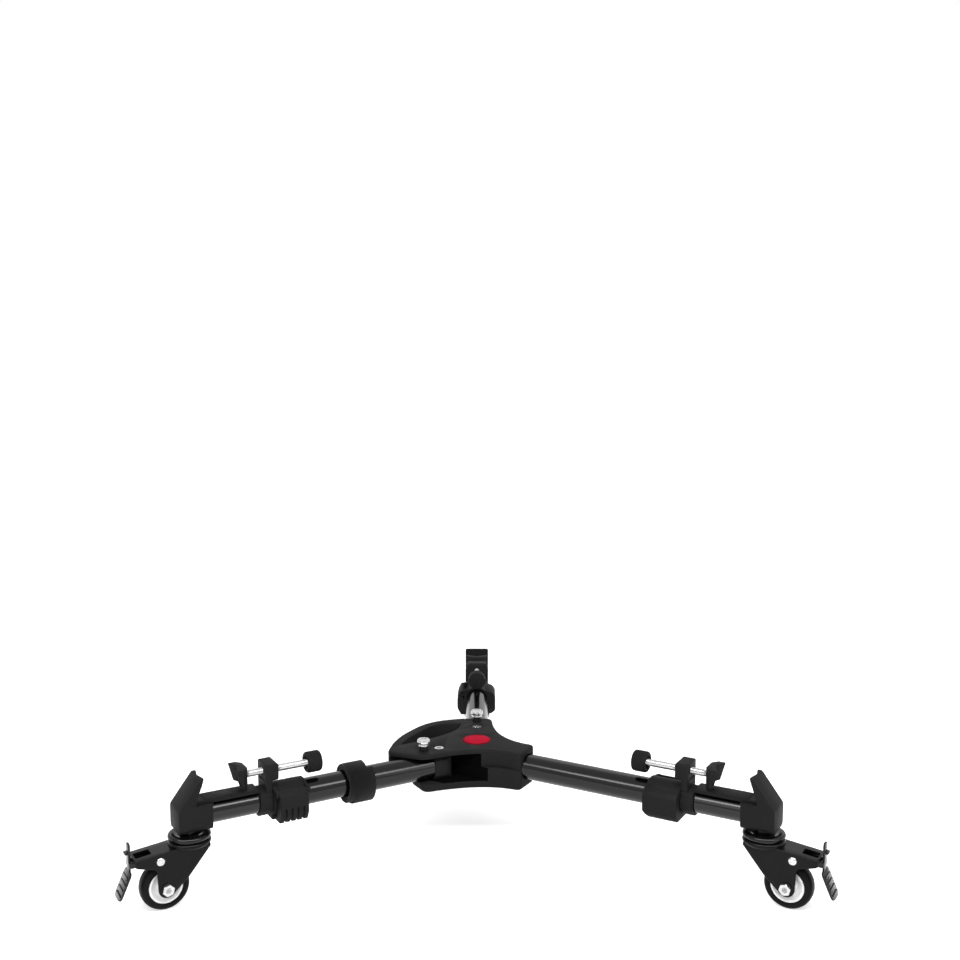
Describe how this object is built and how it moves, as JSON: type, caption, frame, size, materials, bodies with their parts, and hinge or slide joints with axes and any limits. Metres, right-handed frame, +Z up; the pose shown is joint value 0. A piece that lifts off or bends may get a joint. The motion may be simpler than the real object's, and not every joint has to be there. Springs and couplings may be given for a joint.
{
  "type": "tripod dolly",
  "caption": "folding three-armed dolly with telescoping arms, screw clamps for tripod feet, a carry handle on the hub and braked swivel casters",
  "frame": {"origin": "centre of the footprint of the spread dolly, on the ground", "axes": "+Z up, +Y along the rear folding arm, +X to the right of it seen from the front"},
  "size_m": [0.7724, 0.6702, 0.1437],
  "materials": {
    "hub_plastic": "satin moulded",
    "plastic_black": "satin moulded",
    "tube_black": "gloss black anodised",
    "steel_black": "gloss black painted",
    "steel_bright": "bright plated",
    "rim_silver": "silver satin",
    "tyre_black": "smooth",
    "badge_red": "glossy domed",
    "strap_fabric": "woven hook-and-loop tape"
  },
  "bodies": {
    "frame": {"hub_top": "hub_plastic", "hub_base": "hub_plastic", "hub_badge": "badge_red", "pivot_bolt_left": "steel_bright", "pivot_bolt_rear": "steel_bright", "index_bush_left": "plastic_black", "index_bush_rear": "plastic_black", "outer_tube_right": "tube_black", "lock_collar_right": "plastic_black"},
    "arm_left": {"knuckle_left": "plastic_black", "outer_tube_left": "tube_black", "lock_collar_left": "plastic_black", "strap": "strap_fabric"},
    "arm_rear": {"knuckle_rear": "plastic_black", "outer_tube_rear": "tube_black", "lock_collar_rear": "plastic_black"},
    "pin_left": {"index_pin_left": "steel_bright"},
    "pin_rear": {"index_pin_rear": "steel_bright"},
    "lever_left": {"lock_lever_left": "plastic_black"},
    "slide_left": {"inner_tube_left": "tube_black", "end_cap_left": "plastic_black", "clamp_post_left": "plastic_black", "caster_mount_left": "steel_black"},
    "jaw_left": {"clamp_jaw_left": "plastic_black"},
    "screw_left": {"clamp_screw_left": "steel_bright", "clamp_knob_left": "plastic_black"},
    "swivel_left": {"caster_fork_left": "steel_black", "axle_bolt_left": "steel_bright", "brake_rivet_left": "steel_bright"},
    "wheel_left": {"wheel_rim_left": "rim_silver", "wheel_tyre_left": "tyre_black"},
    "brake_left": {"brake_pedal_left": "steel_black"},
    "lever_rear": {"lock_lever_rear": "plastic_black"},
    "slide_rear": {"inner_tube_rear": "tube_black", "end_cap_rear": "plastic_black", "clamp_post_rear": "plastic_black", "caster_mount_rear": "steel_black"},
    "jaw_rear": {"clamp_jaw_rear": "plastic_black"},
    "screw_rear": {"clamp_screw_rear": "steel_bright", "clamp_knob_rear": "plastic_black"},
    "swivel_rear": {"caster_fork_rear": "steel_black", "axle_bolt_rear": "steel_bright", "brake_rivet_rear": "steel_bright"},
    "wheel_rear": {"wheel_rim_rear": "rim_silver", "wheel_tyre_rear": "tyre_black"},
    "brake_rear": {"brake_pedal_rear": "steel_black"},
    "lever_right": {"lock_lever_right": "plastic_black"},
    "slide_right": {"inner_tube_right": "tube_black", "end_cap_right": "plastic_black", "clamp_post_right": "plastic_black", "caster_mount_right": "steel_black"},
    "jaw_right": {"clamp_jaw_right": "plastic_black"},
    "screw_right": {"clamp_screw_right": "steel_bright", "clamp_knob_right": "plastic_black"},
    "swivel_right": {"caster_fork_right": "steel_black", "axle_bolt_right": "steel_bright", "brake_rivet_right": "steel_bright"},
    "wheel_right": {"wheel_rim_right": "rim_silver", "wheel_tyre_right": "tyre_black"},
    "brake_right": {"brake_pedal_right": "steel_black"}
  },
  "joints": [
    {"name": "fold_left", "type": "hinge", "parent": "frame", "child": "arm_left", "pos_m": [-0.0459, -0.13213, 0.0982], "axis": [0, 0, 1], "range_deg": [0, 120]},
    {"name": "fold_rear", "type": "hinge", "parent": "frame", "child": "arm_rear", "pos_m": [0, -0.05263, 0.0982], "axis": [0, 0, -1], "range_deg": [0, 120]},
    {"name": "pin_left", "type": "slide", "parent": "frame", "child": "pin_left", "axis": [0, 0, 1], "range_m": [0, 0.008], "stiffness_N_per_m": 400, "springref_m": -0.004},
    {"name": "pin_rear", "type": "slide", "parent": "frame", "child": "pin_rear", "axis": [0, 0, 1], "range_m": [0, 0.008], "stiffness_N_per_m": 400, "springref_m": -0.004},
    {"name": "lever_left", "type": "hinge", "parent": "arm_left", "child": "lever_left", "pos_m": [-0.20566, -0.24792, 0.1082], "axis": [0.866, 0.5, 0], "range_deg": [-75, 0]},
    {"name": "extend_left", "type": "slide", "parent": "arm_left", "child": "slide_left", "axis": [-0.866, -0.5, 0], "range_m": [0, 0.11]},
    {"name": "jaw_left", "type": "slide", "parent": "slide_left", "child": "jaw_left", "axis": [-0.866, -0.5, 0], "range_m": [-0.016, 0.03]},
    {"name": "screw_left", "type": "hinge", "parent": "jaw_left", "child": "screw_left", "pos_m": [-0.18793, -0.21413, 0.1317], "axis": [-0.866, -0.5, 0], "range_deg": [-4609, 8641]},
    {"name": "swivel_left", "type": "hinge", "parent": "slide_left", "child": "swivel_left", "pos_m": [-0.31263, -0.28613, 0.0582], "axis": [0, 0, 1], "continuous": true},
    {"name": "wheel_left", "type": "hinge", "parent": "swivel_left", "child": "wheel_left", "pos_m": [-0.33775, -0.30063, 0.0266], "axis": [0.5, -0.866, 0], "continuous": true},
    {"name": "brake_left", "type": "hinge", "parent": "swivel_left", "child": "brake_left", "pos_m": [-0.34347, -0.30393, 0.059], "axis": [0.5, -0.866, 0], "range_deg": [0, 8]},
    {"name": "lever_rear", "type": "hinge", "parent": "arm_rear", "child": "lever_rear", "pos_m": [-0.0204, 0.14362, 0.1082], "axis": [0, -1, 0], "range_deg": [-75, 0]},
    {"name": "extend_rear", "type": "slide", "parent": "arm_rear", "child": "slide_rear", "axis": [0, 1, 0], "range_m": [0, 0.11]},
    {"name": "jaw_rear", "type": "slide", "parent": "slide_rear", "child": "jaw_rear", "axis": [0, 1, 0], "range_m": [-0.016, 0.03]},
    {"name": "screw_rear", "type": "hinge", "parent": "jaw_rear", "child": "screw_rear", "pos_m": [0, 0.11137, 0.1317], "axis": [0, 1, 0], "range_deg": [-4609, 8641]},
    {"name": "swivel_rear", "type": "hinge", "parent": "slide_rear", "child": "swivel_rear", "pos_m": [0, 0.25537, 0.0582], "axis": [0, 0, 1], "continuous": true},
    {"name": "wheel_rear", "type": "hinge", "parent": "swivel_rear", "child": "wheel_rear", "pos_m": [0, 0.28437, 0.0266], "axis": [-1, 0, 0], "continuous": true},
    {"name": "brake_rear", "type": "hinge", "parent": "swivel_rear", "child": "brake_rear", "pos_m": [0, 0.29097, 0.059], "axis": [-1, 0, 0], "range_deg": [0, 8]},
    {"name": "lever_right", "type": "hinge", "parent": "frame", "child": "lever_right", "pos_m": [0.22606, -0.21259, 0.1082], "axis": [-0.866, 0.5, 0], "range_deg": [-75, 0]},
    {"name": "extend_right", "type": "slide", "parent": "frame", "child": "slide_right", "axis": [0.866, -0.5, 0], "range_m": [0, 0.11]},
    {"name": "jaw_right", "type": "slide", "parent": "slide_right", "child": "jaw_right", "axis": [0.866, -0.5, 0], "range_m": [-0.016, 0.03]},
    {"name": "screw_right", "type": "hinge", "parent": "jaw_right", "child": "screw_right", "pos_m": [0.18793, -0.21413, 0.1317], "axis": [0.866, -0.5, 0], "range_deg": [-4609, 8641]},
    {"name": "swivel_right", "type": "hinge", "parent": "slide_right", "child": "swivel_right", "pos_m": [0.31263, -0.28613, 0.0582], "axis": [0, 0, 1], "continuous": true},
    {"name": "wheel_right", "type": "hinge", "parent": "swivel_right", "child": "wheel_right", "pos_m": [0.33775, -0.30063, 0.0266], "axis": [0.5, 0.866, 0], "continuous": true},
    {"name": "brake_right", "type": "hinge", "parent": "swivel_right", "child": "brake_right", "pos_m": [0.34347, -0.30393, 0.059], "axis": [0.5, 0.866, 0], "range_deg": [0, 8]}
  ],
  "couplings": [
    {"joint": "screw_left", "follows": "jaw_left", "rad_per_m": 5026.5},
    {"joint": "screw_rear", "follows": "jaw_rear", "rad_per_m": 5026.5},
    {"joint": "screw_right", "follows": "jaw_right", "rad_per_m": 5026.5}
  ]
}
